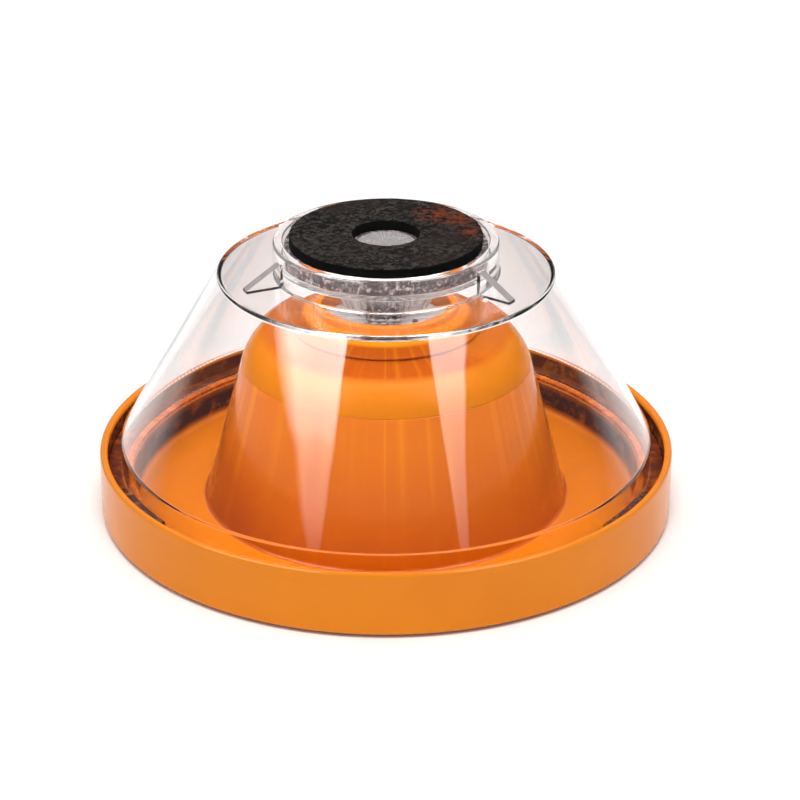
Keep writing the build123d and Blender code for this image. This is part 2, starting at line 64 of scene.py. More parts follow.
X, Z = 0, 2
WALL = 1.8 * MM
TRAY_RADIUS = 60.0 * MM
LIP_TOP = 14.0 * MM
LIP_INNER = TRAY_RADIUS - 1.6 * MM
LEDGE_TOP = low("lens_seal", Z)
FLOOR_TOP = 2.6 * MM
FLOOR_BOTTOM = low("battery_hatch", Z)
TURRET_FOOT = 37.9 * MM
SEAM_RADIUS = high("turret_cap", X)
SEAM_HEIGHT = high("base_tray", Z)
NECK_TOP = high("turret_cap", Z)
LENS_BOTTOM = low("lens_shell", Z)
LENS_RADIUS = 55.5 * MM
LENS_BEND = 15.8 * MM
LENS_WALL = 1.3 * MM
SHOULDER_RADIUS = 34.5 * MM
PLATE_TOP = 52.5 * MM
LENS_SLOPE = math.atan2(LENS_RADIUS - SHOULDER_RADIUS, PLATE_TOP - LENS_BEND)
COLLAR_RADIUS = 23.2 * MM
COLLAR_INNER = 21.1 * MM
COLLAR_TOP = high("lens_shell", Z)
PLATFORM_TOP = low("ring_magnet", Z)
PLATFORM_BOTTOM = PLATFORM_TOP - 0.8 * MM
STEM_RADIUS = 6.2 * MM
STEM_TOP = high("fluted_reflector", Z)
MAGNET_RADIUS = high("ring_magnet", X)
PAD_RADIUS = high("magnet_pad", X)
MAGNET_TOP = high("ring_magnet", Z)
PAD_TOP = high("magnet_pad", Z)
HATCH_RADIUS = high("battery_hatch", X)
HATCH_TOP = high("battery_hatch", Z)
FOOT_INNER = 45.0 * MM
FOOT_OUTER = 51.0 * MM
BAYONET_ANGLES = (90, 210, 330)
TAB_RADIUS = 56.0 * MM
TAB_BOTTOM = 11.2 * MM
TAB_TOP = 12.2 * MM
LUG_RADIUS = 57.6 * MM
LUG_BOTTOM = 9.9 * MM
LUG_TOP = 10.9 * MM
RIB_ANGLES = (-36, -156, 84)
RIB_TOP = 57.6 * MM
RIB_TIP = 53.1 * MM
RIB_REACH = 31.0 * MM
RIB_HALF = 1.0 * MM


# ---------------------------------------------------------------- mesh helpers
def finish_mesh(bm, name, sharp_angle=SHARP_ANGLE):
    """Turn a bmesh into an object with smooth shading that keeps its real edges sharp."""
    bmesh.ops.remove_doubles(bm, verts=bm.verts, dist=1e-7)
    bmesh.ops.recalc_face_normals(bm, faces=bm.faces)
    mesh = bpy.data.meshes.new(name)
    bm.to_mesh(mesh)
    bm.free()
    mesh.polygons.foreach_set("use_smooth", [True] * len(mesh.polygons))
    mesh.set_sharp_from_angle(angle=math.radians(sharp_angle))
    piece = bpy.data.objects.new(name, mesh)
    bpy.context.scene.collection.objects.link(piece)
    return piece


def rounded(points, steps=6):
    """An outline in (r, z) whose corners with a third value are rounded to that radius."""
    outline = []
    count = len(points)
    for i, point in enumerate(points):
        corner = Vector(point[:2])
        radius = point[2] if len(point) > 2 else 0.0
        if radius <= 0.0:
            outline.append(tuple(corner))
            continue
        before = Vector(points[i - 1][:2]) - corner
        after = Vector(points[(i + 1) % count][:2]) - corner
        half = before.angle(after) / 2
        reach = radius / math.tan(half)
        reach = min(reach, 0.49 * before.length, 0.49 * after.length)
        radius = reach * math.tan(half)
        middle = corner + (before.normalized() + after.normalized()).normalized() * radius / math.sin(half)
        start = corner + before.normalized() * reach - middle
        end = corner + after.normalized() * reach - middle
        turn = start.angle_signed(end)
        for step in range(steps + 1):
            angle = -turn * step / steps
            spun = Vector((
                start.x * math.cos(angle) - start.y * math.sin(angle),
                start.x * math.sin(angle) + start.y * math.cos(angle),
            ))
            outline.append(tuple(middle + spun))
    return outline


def lathe(name, outline, segments=ROUND, wobble=None, sharp_angle=SHARP_ANGLE):
    """Turn a closed (r, z) outline round the Z axis. wobble(angle, r, z) may return a new (r, z)."""
    bm = bmesh.new()
    rings = []
    for i in range(segments):
        angle = 2 * math.pi * i / segments
        ring = []
        for r, z in outline:
            if wobble:
                r, z = wobble(angle, r, z)
            ring.append(bm.verts.new((r * math.cos(angle), r * math.sin(angle), z)))
        rings.append(ring)
    points = len(outline)
    for i in range(segments):
        here, there = rings[i], rings[(i + 1) % segments]
        for j in range(points):
            k = (j + 1) % points
            if outline[j][0] == 0 and outline[k][0] == 0:
                continue
            bm.faces.new((here[j], here[k], there[k], there[j]))
    bmesh.ops.remove_doubles(bm, verts=bm.verts, dist=1e-7)
    bmesh.ops.dissolve_degenerate(bm, edges=bm.edges, dist=1e-8)
    return finish_mesh(bm, name, sharp_angle)


def prism(name, outline, bottom, top):
    """A straight-sided block over an (x, y) outline."""
    bm = bmesh.new()
    base = [bm.verts.new((x, y, bottom)) for x, y in outline]
    roof = [bm.verts.new((x, y, top)) for x, y in outline]
    bm.faces.new(base)
    bm.faces.new(roof)
    for i in range(len(outline)):
        j = (i + 1) % len(outline)
        bm.faces.new((base[i], base[j], roof[j], roof[i]))
    return finish_mesh(bm, name)


def sector(inner, outer, centre, span, steps=10):
    """(x, y) outline of a ring sector, with angles in degrees."""
    angles = [math.radians(centre - span / 2 + span * i / steps) for i in range(steps + 1)]
    outside = [(outer * math.cos(a), outer * math.sin(a)) for a in angles]
    inside = [(inner * math.cos(a), inner * math.sin(a)) for a in reversed(angles)]
    return outside + inside


def combine(piece, others, operation):
    """Join or cut a piece with others by exact boolean, and remove the others."""
    for other in others:
        modifier = piece.modifiers.new(other.name, "BOOLEAN")
        modifier.operation = operation
        modifier.solver = "EXACT"
        modifier.object = other
    depsgraph = bpy.context.evaluated_depsgraph_get()
    mesh = bpy.data.meshes.new_from_object(piece.evaluated_get(depsgraph))
    piece.modifiers.clear()
    piece.data = mesh
    mesh.polygons.foreach_set("use_smooth", [True] * len(mesh.polygons))
    mesh.set_sharp_from_angle(angle=math.radians(SHARP_ANGLE))
    for other in others:
        bpy.data.objects.remove(other)


def polygon_arc(start, through, end, steps=14):
    """Points of the circular arc through three (r, z) points, ends left out."""
    a, b, c = Vector(start), Vector(through), Vector(end)
    d = 2 * (a.x * (b.y - c.y) + b.x * (c.y - a.y) + c.x * (a.y - b.y))
    aa, bb, cc = a.length_squared, b.length_squared, c.length_squared
    ux = (aa * (b.y - c.y) + bb * (c.y - a.y) + cc * (a.y - b.y)) / d
    uy = (aa * (c.x - b.x) + bb * (a.x - c.x) + cc * (b.x - a.x)) / d
    middle = Vector((ux, uy))
    first = math.atan2(a.y - uy, a.x - ux)
    last = math.atan2(c.y - uy, c.x - ux)
    radius = (a - middle).length
    return [
        (ux + radius * math.cos(first + (last - first) * i / steps),
         uy + radius * math.sin(first + (last - first) * i / steps))
        for i in range(1, steps)
    ]


# ---------------------------------------------------------------- node helpers
class Tree:
    """Node tree of a material or a world, with the few nodes that the looks here are built from."""

    def __init__(self, holder):
        holder.use_nodes = True
        self.nodes = holder.node_tree.nodes
        self.links = holder.node_tree.links

    def math(self, operation, first, second):
        node = self.nodes.new("ShaderNodeMath")
        node.operation = operation
        self.links.new(first, node.inputs[0])
        self.links.new(second, node.inputs[1])
        return node.outputs[0]

    def multiply(self, first, second):
        return self.math("MULTIPLY", first, second)

    def vector_math(self, operation, source, value=(0, 0, 0)):
        node = self.nodes.new("ShaderNodeVectorMath")
        node.operation = operation
        self.links.new(source, node.inputs[0])
        node.inputs[1].default_value = value
        return node.outputs

    def where(self, space="Object"):
        """Place in the piece's own space, so that a pattern moves with the piece."""
        return self.nodes.new("ShaderNodeTexCoord").outputs[space]

    def place(self):
        """X, Y and Z on the piece."""
        parts = self.nodes.new("ShaderNodeSeparateXYZ")
        self.links.new(self.where(), parts.inputs[0])
        return parts.outputs["X"], parts.outputs["Y"], parts.outputs["Z"]

    def axis_distance(self):
        """Distance from the flare's axis, and height."""
        flat = self.vector_math("MULTIPLY", self.where(), (1, 1, 0))
        return self.vector_math("LENGTH", flat["Vector"])["Value"], self.place()[2]

    def new_noise(self, scale, detail, roughness):
        pattern = self.nodes.new("ShaderNodeTexNoise")
        pattern.inputs["Scale"].default_value = scale
        pattern.inputs["Detail"].default_value = detail
        pattern.inputs["Roughness"].default_value = roughness
        return pattern

    def noise(self, scale, detail=4.0, roughness=0.55):
        """Noise at scale per metre."""
        pattern = self.new_noise(scale, detail, roughness)
        self.links.new(self.where(), pattern.inputs["Vector"])
        return pattern.outputs["Fac"]

    def noise_round(self, first, second, scale, detail, roughness):
        """Noise by the angle round the axis, from two coordinates across it."""
        pattern = self.new_noise(scale, detail, roughness)
        pattern.noise_dimensions = "1D"
        self.links.new(self.math("ARCTAN2", first, second), pattern.inputs["W"])
        return pattern.outputs["Fac"]

    def spread(self, source, from_low, from_high, to_low, to_high):
        """Map a value range to another range."""
        ramp = self.nodes.new("ShaderNodeMapRange")
        ramp.inputs["From Min"].default_value = from_low
        ramp.inputs["From Max"].default_value = from_high
        ramp.inputs["To Min"].default_value = to_low
        ramp.inputs["To Max"].default_value = to_high
        self.links.new(source, ramp.inputs["Value"])
        return ramp.outputs["Result"]

    def band(self, source, start, end, edge):
        """1 where the source lies between start and end, fading to 0 over the edge on each side."""
        rise = self.spread(source, start - edge, start, 0, 1)
        fall = self.spread(source, end, end + edge, 1, 0)
        return self.multiply(rise, fall)

    def behind_front(self, start, end, least):
        """Rises from least to 1 going backwards along Y from start to end."""
        return self.spread(self.place()[1], start, end, least, 1)

    def mix(self, factor, first, second):
        """Go from one colour to another by a factor."""
        node = self.nodes.new("ShaderNodeMix")
        node.data_type = "RGBA"
        node.inputs["A"].default_value = (*first, 1)
        node.inputs["B"].default_value = (*second, 1)
        self.links.new(factor, node.inputs["Factor"])
        return node.outputs["Result"]

    def over(self, factor, below, colour):
        """Lay a colour over what lies below by a factor."""
        result = self.mix(factor, colour, colour)
        self.links.new(below, result.node.inputs["A"])
        return result

    def bump(self, shader, height, strength, distance):
        node = self.nodes.new("ShaderNodeBump")
        node.inputs["Strength"].default_value = strength
        node.inputs["Distance"].default_value = distance
        self.links.new(height, node.inputs["Height"])
        self.links.new(node.outputs["Normal"], shader.inputs["Normal"])


def new_material(name):
    """A material, its node tree and its shader."""
    material = bpy.data.materials.new(name)
    tree = Tree(material)
    return material, tree, tree.nodes["Principled BSDF"]


# ---------------------------------------------------------------- orange plastic and its tones
# Painted shade: a deeper orange for the tray and turret under the lens, standing in for light that the lens
# keeps off.
UNDER_LENS_SHADE_ORANGE = (0.45, 0.112, 0.003)
# Painted shade down the turret wall, darker towards its foot.
SHADED_ORANGE = (0.34, 0.055, 0.002)
# Painted reflection: bright upright streaks on the turret wall.
STREAK_REFLECTION_ORANGE = (0.56, 0.17, 0.004)
# Painted shade at the turret's foot on the left.
FOOT_SHADE = (0.20, 0.028, 0.004)
# Painted shade, patchy, on the dish's wall under the ledge and in the groove outside the lens.
DISH_WALL_SHADE = (0.03, 0.009, 0.010)
GROOVE_SHADE = (0.045, 0.006, 0.004)
# Painted shadow on the cap's slope under the magnet; painted light on the band above the seam and on the
# streaks.
CAP_SHADED = (0.26, 0.045, 0.0015)
CAP_HIGHLIGHT_ORANGE = (0.37, 0.104, 0.003)
# The neck keeps nearly the plain orange, out of the cap's painted shade.
NECK_ORANGE = (0.66, 0.17, 0.003)
# Between these Y places the painted shade in the groove fades towards the front.
RECESS_SHADE_FADE = (-50.0 * MM, -34.0 * MM)


def plastic(name, base, deep, tones=None, shine=0.18):
    """Glossy moulded plastic: faint cloudiness, a little waviness and fine handling marks.

    tones may lay further colours over it by place on the piece."""
    material, tree, shader = new_material(name)
    clouds = tree.noise(45.0, 3.0)
    colour = tree.mix(tree.spread(clouds, 0.35, 0.68, 0, 1), base, deep)
    if tones:
        colour = tones(tree, colour)
    tree.links.new(colour, shader.inputs["Base Color"])
    marks = tree.noise(900.0, 6.0, 0.7)
    gloss = tree.spread(marks, 0.3, 0.75, 0.12, 0.26)
    tree.links.new(gloss, shader.inputs["Roughness"])
    waves = tree.noise(120.0, 2.0)
    tree.bump(shader, waves, 0.12, 0.4 * MM)
    shader.inputs["IOR"].default_value = 1.5
    shader.inputs["Specular IOR Level"].default_value = shine
    return material


def reflection_streaks(tree):
    """Faint upright streaks by angle round the axis: a painted reflection on the turret wall and cap."""
    x, y, _ = tree.place()
    return tree.spread(tree.noise_round(x, y, 9.0, 4.0, 0.75), 0.50, 0.68, 0, 0.5)


def turret_tones(tree, colour, distance, height, above_floor):
    """Painted shade towards the turret's foot, deepest at the left, and painted reflection streaks higher
    up.
    """
    wall = tree.multiply(tree.band(distance, 29.0 * MM, 38.2 * MM, 0.3 * MM), above_floor)
    shade = tree.spread(height, 3.0 * MM, 27.0 * MM, 1.0, 0.25)
    colour = tree.over(tree.multiply(wall, shade), colour, SHADED_ORANGE)
    left = tree.spread(tree.place()[0], -31.0 * MM, -20.0 * MM, 0.7, 0)
    low_left = tree.multiply(left, tree.spread(height, 4.0 * MM, 22.0 * MM, 1, 0))
    colour = tree.over(tree.multiply(wall, low_left), colour, FOOT_SHADE)
    lines = tree.multiply(reflection_streaks(tree), tree.spread(height, 12.0 * MM, 27.0 * MM, 0.1, 1))
    return tree.over(tree.multiply(wall, lines), colour, STREAK_REFLECTION_ORANGE)


def recess_shade_tones(tree, colour, distance, height):
    """Patchy painted shade on the dish's wall and in the groove outside the lens, lighter in front."""
    patchy = tree.spread(tree.noise(240.0, 5.0, 0.7), 0.32, 0.5, 0.6, 1)
    wall = tree.multiply(tree.band(distance, 51.9 * MM, 52.55 * MM, 0.3 * MM),
                         tree.band(height, 4.4 * MM, 8.7 * MM, 1.4 * MM))
    groove = tree.multiply(tree.band(distance, 54.2 * MM, 58.5 * MM, 0.1 * MM),
                           tree.band(height, 8.8 * MM, 12.6 * MM, 0.5 * MM))
    groove = tree.multiply(groove, tree.behind_front(*RECESS_SHADE_FADE, 0.25))
    # Painted shade in the dish and the groove.
    for place, shade_colour in ((wall, DISH_WALL_SHADE), (groove, GROOVE_SHADE)):
        colour = tree.over(tree.multiply(place, patchy), colour, shade_colour)
    return colour


def tray_tones(tree, colour):
    """Painted shade under the lens as a deeper orange, then the turret's painted shade and reflection
    streaks, and painted shade in the dish and groove.
    """
    distance, height = tree.axis_distance()
    above_floor = tree.spread(height, 2.0 * MM, 2.4 * MM, 0, 1)
    under_lens = tree.spread(distance, 53.0 * MM, 53.4 * MM, 1, 0)
    # Painted shade under the lens.
    colour = tree.over(tree.multiply(under_lens, above_floor), colour, UNDER_LENS_SHADE_ORANGE)
    colour = turret_tones(tree, colour, distance, height, above_floor)
    return recess_shade_tones(tree, colour, distance, height)


def cap_tones(tree, colour):
    """Painted shadow on the slope below the neck, strongest in front and crossed by painted reflection
    streaks, the neck nearly plain orange, and a painted lit band above the seam.
    """
    distance, _ = tree.axis_distance()
    # Painted shadow, stronger in front.
    front = tree.spread(tree.place()[1], -17.0 * MM, -14.5 * MM, 1, 0.25)
    slope = tree.multiply(tree.band(distance, 17.6 * MM, 24.8 * MM, 0.8 * MM), front)
    neck = tree.spread(distance, 16.6 * MM, 17.6 * MM, 1, 0)
    colour = tree.over(neck, colour, NECK_ORANGE)
    colour = tree.over(slope, colour, CAP_SHADED)
    colour = tree.over(tree.multiply(slope, reflection_streaks(tree)), colour, CAP_HIGHLIGHT_ORANGE)
    lit = tree.band(distance, 26.2 * MM, 30.6 * MM, 0.6 * MM)
    return tree.over(lit, colour, CAP_HIGHLIGHT_ORANGE)


# ---------------------------------------------------------------- clear plastic, rubber and the rest
PAD_CAST = (0.022, 0.013, 0.010)
PAD_RUST = (0.17, 0.030, 0.008)
PAD_CUT = (0.001, 0.001, 0.001)
PAD_SMUDGES = ((10.5, 10.0, 6.0), (15.0, 7.5, 4.5), (17.0, 0.5, 4.0))      # x, y and reach in millimetres
# Painted shade on the seal in the groove outside the lens.
SEAL_GROOVE_SHADE = (0.05, 0.008, 0.006)
SILVER = (0.60, 0.57, 0.56)
SILVER_RUN = (0.16, 0.12, 0.13)
FRECKLE = (0.02, 0.006, 0.012)


def clear_plastic(name, tint=(1.0, 1.0, 1.0), roughness=0.0):
    """Polished clear plastic with hair-fine handling marks."""
    material, tree, shader = new_material(name)
    shader.inputs["Base Color"].default_value = (*tint, 1)
    shader.inputs["Transmission Weight"].default_value = 1.0
    shader.inputs["IOR"].default_value = 1.49
    marks = tree.noise(700.0, 5.0, 0.65)
    gloss = tree.spread(marks, 0.45, 0.8, roughness, roughness + 0.05)
    tree.links.new(gloss, shader.inputs["Roughness"])
    return material


def rubber(name, base=(0.02, 0.019, 0.018), speck=(0.11, 0.105, 0.10), grain=1500.0, rough=0.8, tones=None):
    """Matt rubber with a fine speckled grain."""
    material, tree, shader = new_material(name)
    grains = tree.noise(grain, 3.0, 0.8)
    mottled = tree.noise(grain / 5, 4.0, 0.7)
    specks = tree.multiply(tree.spread(grains, 0.47, 0.58, 0, 1), tree.spread(mottled, 0.3, 0.7, 0.25, 1))
    colour = tree.mix(specks, base, speck)
    if tones:
        colour = tones(tree, colour)
    tree.links.new(colour, shader.inputs["Base Color"])
    gloss = tree.spread(mottled, 0.3, 0.7, rough - 0.1, rough + 0.1)
    tree.links.new(gloss, shader.inputs["Roughness"])
    shader.inputs["Specular IOR Level"].default_value = 0.06
    tree.bump(shader, grains, 0.6, 0.15 * MM)
    return material


def pad_tones(tree, colour):
    """A worn brownish cast, rusty smudges on the right, and a blacker cut edge."""
    cast = tree.spread(tree.noise(90.0, 3.0), 0.45, 0.7, 0, 0.5)
    colour = tree.over(cast, colour, PAD_CAST)
    for x, y, reach in PAD_SMUDGES:
        gap = tree.vector_math("DISTANCE", tree.where(), (x * MM, y * MM, PAD_TOP))["Value"]
        near = tree.spread(gap, 0, reach * MM, 1, 0)
        blotch = tree.spread(tree.noise(500.0, 4.0, 0.7), 0.42, 0.6, 0, 1.0)
        colour = tree.over(tree.multiply(near, blotch), colour, PAD_RUST)
    edge = tree.spread(tree.place()[2], PAD_TOP - 0.25 * MM, PAD_TOP - 0.12 * MM, 1, 0)
    return tree.over(edge, colour, PAD_CUT)


def seal_tones(tree, colour):
    """Patchy maroon painted shade on the seal outside the lens's skirt, in the groove, lighter in front."""
    distance, _ = tree.axis_distance()
    outside = tree.spread(distance, 55.2 * MM, 55.8 * MM, 0, 0.92)
    outside = tree.multiply(outside, tree.behind_front(*RECESS_SHADE_FADE, 0.35))
    patchy = tree.spread(tree.noise(300.0, 4.0, 0.7), 0.35, 0.55, 0.55, 1)
    return tree.over(tree.multiply(outside, patchy), colour, SEAL_GROOVE_SHADE)


def speckled(name, dark, pale, grain, share, roughness=0.45, metallic=0.0):
    """Ground ceramic with coarse pale specks on a dark ground."""
    material, tree, shader = new_material(name)
    grains = tree.noise(grain, 4.0, 0.8)
    specks = tree.spread(grains, 0.62 - 0.3 * share, 0.72 - 0.2 * share, 0, 1)
    tree.links.new(tree.mix(specks, dark, pale), shader.inputs["Base Color"])
    shader.inputs["Metallic"].default_value = metallic
    shader.inputs["Roughness"].default_value = roughness
    tree.bump(shader, grains, 0.3, 0.1 * MM)
    return material


def metal(name, base, roughness=0.3, scratch=600.0):
    """Plated metal with fine scratches and slightly uneven gloss."""
    material, tree, shader = new_material(name)
    shader.inputs["Metallic"].default_value = 1.0
    scratches = tree.noise(scratch, 6.0, 0.75)
    darker = tuple(0.75 * c for c in base)
    tree.links.new(tree.mix(scratches, base, darker), shader.inputs["Base Color"])
    gloss = tree.spread(scratches, 0.3, 0.7, roughness * 0.7, roughness * 1.4)
    tree.links.new(gloss, shader.inputs["Roughness"])
    tree.bump(shader, scratches, 0.15, 0.05 * MM)
    return material


def dull(name, base, roughness=0.55, scale=400.0, contrast=0.7):
    """Matt plastic, board or ceramic with slight unevenness."""
    material, tree, shader = new_material(name)
    cloud = tree.noise(scale, 5.0)
    darker = tuple(contrast * c for c in base)
    tree.links.new(tree.mix(cloud, base, darker), shader.inputs["Base Color"])
    gloss = tree.spread(cloud, 0.3, 0.7, roughness - 0.1, roughness + 0.1)
    tree.links.new(gloss, shader.inputs["Roughness"])
    tree.bump(shader, cloud, 0.2, 0.05 * MM)
    return material


def silvered(name, metallic, freckle_fade):
    """Silvered plastic: pale, with darker runs fanning out from the axis and dark freckles in front.

    The freckles thin out between the two heights of freckle_fade."""
    material, tree, shader = new_material(name)
    x, y, z = tree.place()
    dark_run = tree.spread(tree.noise_round(y, x, 16.0, 5.0, 0.8), 0.48, 0.62, 0, 0.85)
    colour = tree.mix(dark_run, SILVER, SILVER_RUN)
    low_part = tree.spread(z, *freckle_fade, 1, 0.3)
    middle = tree.band(x, -3.6 * MM, 2.6 * MM, 1.2 * MM)
    in_front = tree.multiply(middle, tree.spread(y, -3.0 * MM, 0, 1, 0))
    freckles = tree.spread(tree.noise(1000.0, 3.0, 0.7), 0.42, 0.52, 0, 1)
    spots = tree.multiply(tree.multiply(low_part, in_front), freckles)
    tree.links.new(tree.over(spots, colour, FRECKLE), shader.inputs["Base Color"])
    shader.inputs["Metallic"].default_value = metallic
    shader.inputs["IOR"].default_value = 1.49
    frost = tree.noise(500.0, 5.0, 0.7)
    gloss = tree.spread(frost, 0.3, 0.75, 0.15, 0.35)
    tree.links.new(gloss, shader.inputs["Roughness"])
    tree.bump(shader, frost, 0.25, 0.1 * MM)
    return material


# ---------------------------------------------------------------- materials
ORANGE = plastic("orange_plastic", (0.72, 0.21, 0.005), (0.68, 0.19, 0.004))
TRAY_ORANGE = plastic("tray_orange", (0.72, 0.21, 0.005), (0.68, 0.19, 0.004), tray_tones)
# The cap is a shaded copy of the orange plastic: its darker base colour is painted shade.
SHADED_CAP_ORANGE = plastic("turret_orange_shaded", (0.36, 0.085, 0.002), (0.34, 0.078, 0.002), cap_tones, 0.04)
CLEAR = clear_plastic("clear_plastic")
PAD_RUBBER = rubber("pad_rubber", (0.0015, 0.0015, 0.0012), (0.062, 0.055, 0.050), 1000.0, 0.9, pad_tones)
FOOT_RUBBER = rubber("foot_rubber", grain=900.0)
SEAL_RUBBER = rubber("seal_rubber", (0.30, 0.055, 0.004), (0.60, 0.14, 0.005), 400.0, 0.6, seal_tones)
FERRITE = speckled("ferrite", (0.016, 0.004, 0.006), (0.46, 0.37, 0.36), 900.0, 0.4, 0.6)
STEEL = metal("zinc_steel", (0.62, 0.62, 0.63))
CONTACTS = metal("nickel_contact", (0.66, 0.62, 0.55), 0.25)
CELL_JACKET = metal("cell_jacket", (0.2, 0.21, 0.23), 0.35)
BLACK_PLASTIC = dull("black_plastic", (0.03, 0.03, 0.032))
BOARD_GREEN = dull("solder_resist", (0.02, 0.15, 0.06), 0.3)
CERAMIC = dull("led_ceramic", (0.85, 0.84, 0.78), 0.4, 300.0, 0.95)
FROST = dull("frosted_plastic", (0.36, 0.31, 0.31), 0.5, 700.0, 0.45)
SILICONE = clear_plastic("led_silicone", (1.0, 0.93, 0.62), 0.05)
INSULATION = dull("lead_insulation", (0.45, 0.03, 0.02), 0.4)
REFLECTOR = silvered("reflector_plastic", 0.35, (46.5 * MM, 53.0 * MM))
BOARD_SILVER = silvered("board_silver", 0.0, (41.6 * MM, 42.0 * MM))


# ---------------------------------------------------------------- placing pieces
def even_normals(piece):
    """Let large faces keep their own direction, so that flat and conical walls mirror truly."""
    modifier = piece.modifiers.new("even_normals", "WEIGHTED_NORMAL")
    modifier.keep_sharp = True
    depsgraph = bpy.context.evaluated_depsgraph_get()
    mesh = bpy.data.meshes.new_from_object(piece.evaluated_get(depsgraph))
    piece.modifiers.clear()
    piece.data = mesh


def put(piece, material, body, node):
    """Give a piece its material and body, and hide the CAD node that it stands for."""
    even_normals(piece)
    piece.data.materials.clear()
    piece.data.materials.append(material)
    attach(piece, body)
    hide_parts(node)


# ---------------------------------------------------------------- tray and turret
def turret_radius(z):
    """Outside radius of the turret wall at a height."""
    return TURRET_FOOT - (TURRET_FOOT - SEAM_RADIUS) * (z - FLOOR_TOP) / (SEAM_HEIGHT - FLOOR_TOP)


def build_tray():
    """Tray and turret wall in one turned piece, with bayonet tabs in the rim and notches for the hatch."""
    seat_top = 3.8 * MM
    recess_top = 2.3 * MM
    opening = 31.6 * MM
    recess = HATCH_RADIUS + 0.3 * MM
    rabbet = 29.0 * MM
    rabbet_foot = SEAM_HEIGHT - 2.1 * MM
    under_rim = 54.0 * MM
    rim_foot = 0.6 * MM
    dish_top = 52.7 * MM
    dish_foot = 52.1 * MM
    outline = rounded([
        (recess, FLOOR_BOTTOM, 0.2 * MM),
        (under_rim, FLOOR_BOTTOM, 0.4 * MM),
        (under_rim, LEDGE_TOP - WALL, 0.6 * MM),
        (LIP_INNER, LEDGE_TOP - WALL, 0.6 * MM),
        (LIP_INNER, rim_foot, 0.2 * MM),
        (TRAY_RADIUS, rim_foot, 1.1 * MM),
        (TRAY_RADIUS, LIP_TOP, 0.78 * MM),
        (LIP_INNER, LIP_TOP, 0.78 * MM),
        (LIP_INNER, LEDGE_TOP, 0.4 * MM),
        (dish_top, LEDGE_TOP, 0.35 * MM),
        (dish_foot, FLOOR_TOP, 1.2 * MM),
        (TURRET_FOOT, FLOOR_TOP, 1.0 * MM),
        (SEAM_RADIUS, SEAM_HEIGHT, 0.25 * MM),
        (rabbet, SEAM_HEIGHT),
        (rabbet, rabbet_foot),
        (turret_radius(rabbet_foot) - WALL, rabbet_foot),
        (turret_radius(seat_top) - WALL, seat_top, 0.4 * MM),
        (opening, seat_top, 0.2 * MM),
        (opening, recess_top),
        (recess, recess_top),
    ])
    tray = lathe("tray_and_turret_wall", outline)
    into_lip = LIP_INNER + 0.5 * MM
    stop_turn = 8.5
    tabs = []
    for angle in BAYONET_ANGLES:
        tabs.append(prism("tab", sector(TAB_RADIUS, into_lip, angle, 16), TAB_BOTTOM, TAB_TOP))
        stop = sector(TAB_RADIUS, into_lip, angle - stop_turn, 2, 4)
        tabs.append(prism("stop", stop, LUG_BOTTOM, TAB_TOP - 0.01 * MM))
    combine(tray, tabs, "UNION")
    notches = []
    for angle in BAYONET_ANGLES:
        notch = sector(opening - 0.5 * MM, HATCH_RADIUS, angle, 22)
        notches.append(prism("notch", notch, recess_top - 0.5 * MM, seat_top + 0.5 * MM))
    combine(tray, notches, "DIFFERENCE")
    put(tray, TRAY_ORANGE, "base", "base_tray")


def build_turret_cap():
    """Domed cap with a neck, a shelf for the LED board and a spigot into the turret wall."""
    seam = (SEAM_RADIUS, SEAM_HEIGHT)
    crown = (28.0 * MM, 36.4 * MM)
    shoulder = (23.5 * MM, 40.0 * MM)
    neck = 15.0 * MM
    neck_foot = 43.3 * MM
    bore = 13.4 * MM
    board_hole = 10.5 * MM
    shelf_top = low("led_board", Z)
    shelf_bottom = shelf_top - 1.6 * MM
    spigot = 28.95 * MM
    spigot_bore = 27.15 * MM
    spigot_foot = SEAM_HEIGHT - 2.0 * MM
    inner_seam = (spigot_bore, SEAM_HEIGHT - 0.4 * MM)
    inner_crown = (26.0 * MM, 35.6 * MM)
    inner_shoulder = (22.8 * MM, 38.2 * MM)
    outline = [(SEAM_RADIUS - 0.12 * MM, SEAM_HEIGHT), (SEAM_RADIUS, SEAM_HEIGHT + 0.12 * MM)]
    outline += polygon_arc(seam, crown, shoulder)
    outline += rounded([
        (*shoulder, 2.0 * MM),
        (neck, neck_foot, 0.5 * MM),
        (neck, NECK_TOP, 0.5 * MM),
        (bore, NECK_TOP, 0.4 * MM),
        (bore, shelf_top),
        (board_hole, shelf_top, 0.2 * MM),
        (board_hole, shelf_bottom),
        (neck, shelf_bottom),
        (neck + 0.4 * MM, neck_foot - 2.0 * MM),
    ])
    outline.append(inner_shoulder)
    outline += polygon_arc(inner_shoulder, inner_crown, inner_seam)
    outline += [inner_seam, (spigot_bore, spigot_foot), (spigot, spigot_foot), (spigot, SEAM_HEIGHT)]
    cap = lathe("turret_dome", outline, sharp_angle=30)
    put(cap, SHADED_CAP_ORANGE, "base", "turret_cap")


# ---------------------------------------------------------------- lens
def lens_radius(z, inset=0.0):
    """Radius of the lens's conical wall at a height, inset square to the wall."""
    rise = PLATE_TOP - LENS_BEND
    run = LENS_RADIUS - SHOULDER_RADIUS
    return LENS_RADIUS - run / rise * (z - LENS_BEND) - inset * math.hypot(rise, run) / rise


